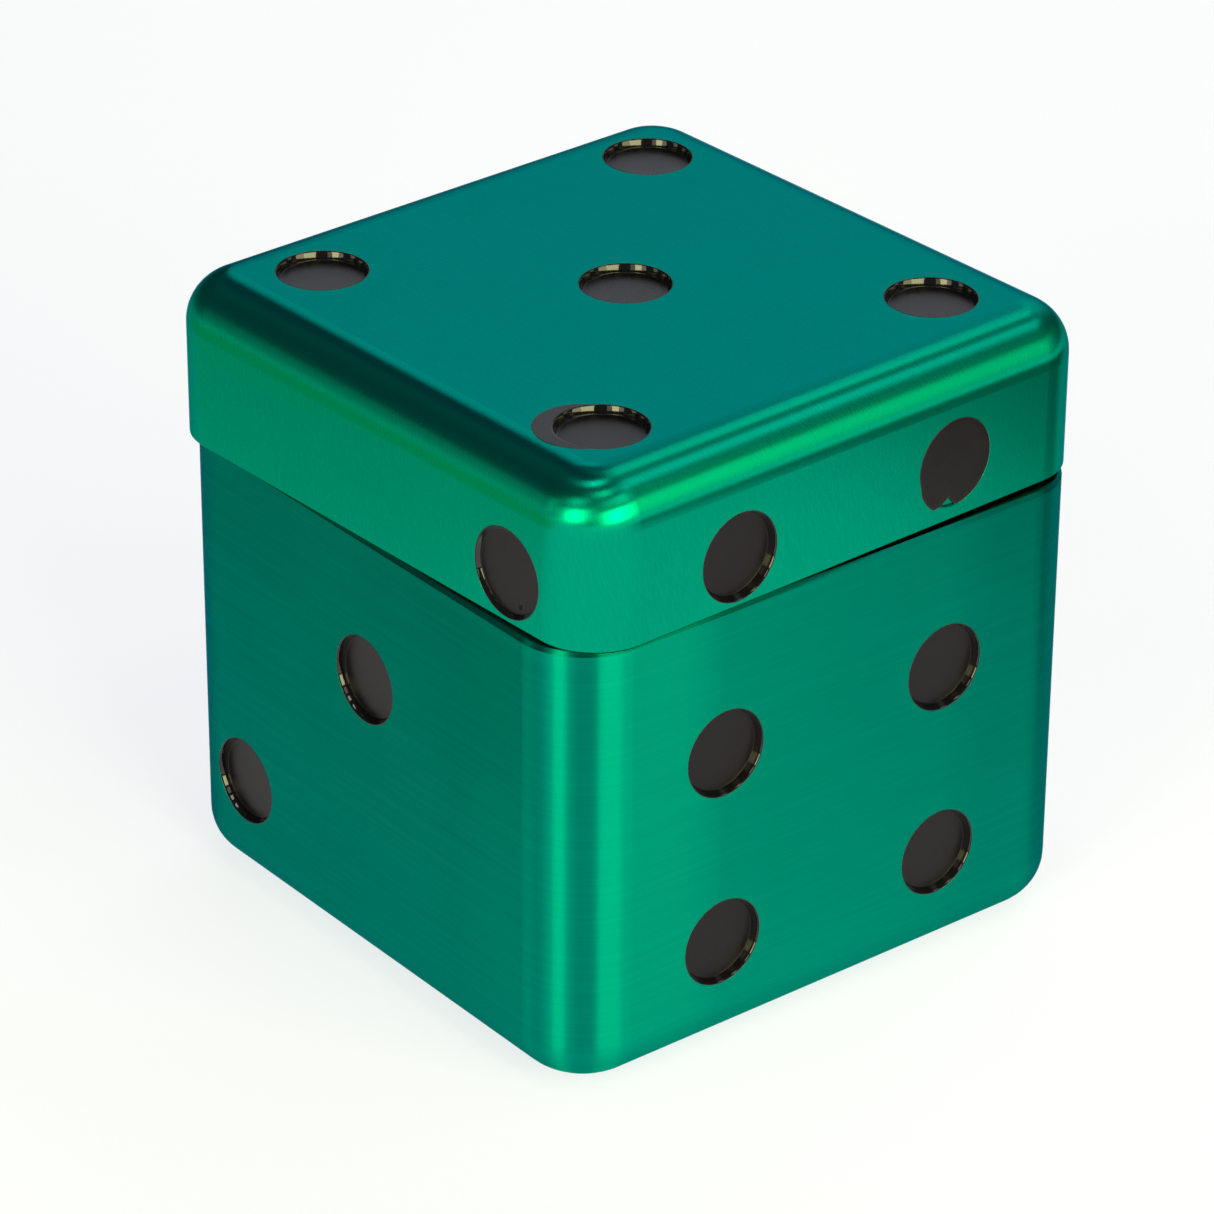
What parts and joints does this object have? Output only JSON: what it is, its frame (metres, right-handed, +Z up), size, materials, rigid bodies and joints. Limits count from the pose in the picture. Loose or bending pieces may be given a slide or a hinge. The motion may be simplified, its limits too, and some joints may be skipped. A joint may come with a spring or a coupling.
{
  "type": "die-shaped hand grinder",
  "caption": "Die-shaped hand grinder: a square metal cup with a screw-in toothed plate and a loose square lid that turns on it, with enamelled pips in round recesses.",
  "frame": {"origin": "under the middle of the cup's base, on the surface it stands on", "axes": "+Z up; -Y faces the side of the cup that counts three, +X the side that counts six; the loose lid stands turned 2.2 degrees anticlockwise from above and 0.3 mm towards -Y"},
  "size_m": [0.0514, 0.0514, 0.0508],
  "materials": {
    "green_anodised_cup": "brushed and dyed green by anodising",
    "green_anodised_lid": "brushed and dyed green by anodising",
    "green_anodised_plate": "turned and dyed green by anodising",
    "tooth_steel": "ground",
    "nickel_plating": "nickel plated",
    "gasket_rubber": "matt",
    "nylon": "natural nylon",
    "black_enamel": "black enamel, glossy up the wall and duller on the floor"
  },
  "bodies": {
    "cup_body": {"cup": "green_anodised_cup", "pip_three_2": "black_enamel", "pip_three_3": "black_enamel", "pip_six_3": "black_enamel", "pip_six_4": "black_enamel", "pip_six_5": "black_enamel", "pip_six_6": "black_enamel", "pip_four_3": "black_enamel", "pip_four_4": "black_enamel", "pip_one_1": "black_enamel", "pip_two_1": "black_enamel", "pip_two_2": "black_enamel"},
    "gasket_body": {"gasket": "gasket_rubber"},
    "plate_body": {"grinding_plate": "green_anodised_plate", "plate_teeth": "tooth_steel", "plate_magnet": "nickel_plating"},
    "slip_ring_body": {"slip_ring": "nylon"},
    "lid_body": {"lid": "green_anodised_lid", "lid_teeth": "tooth_steel", "lid_magnet": "nickel_plating", "pip_three_1": "black_enamel", "pip_six_1": "black_enamel", "pip_six_2": "black_enamel", "pip_four_1": "black_enamel", "pip_four_2": "black_enamel", "pip_five_1": "black_enamel", "pip_five_2": "black_enamel", "pip_five_3": "black_enamel", "pip_five_4": "black_enamel", "pip_five_5": "black_enamel"}
  },
  "joints": [
    {"name": "plate_rise", "type": "slide", "parent": "cup_body", "child": "gasket_body", "axis": [0, 0, 1], "range_m": [0, 0.008]},
    {"name": "plate_unscrew", "type": "hinge", "parent": "gasket_body", "child": "plate_body", "pos_m": [0, 0, 0.0345], "axis": [0, 0, 1], "range_deg": [0, 1440]},
    {"name": "lid_lift", "type": "slide", "parent": "plate_body", "child": "slip_ring_body", "axis": [0, 0, 1], "range_m": [0, 0.03]},
    {"name": "lid_turn", "type": "hinge", "parent": "slip_ring_body", "child": "lid_body", "pos_m": [0, -0.0003, 0.0455], "axis": [0, 0, 1], "continuous": true}
  ],
  "couplings": [
    {"joint": "plate_rise", "follows": "plate_unscrew", "m_per_rad": 0.00031831}
  ]
}
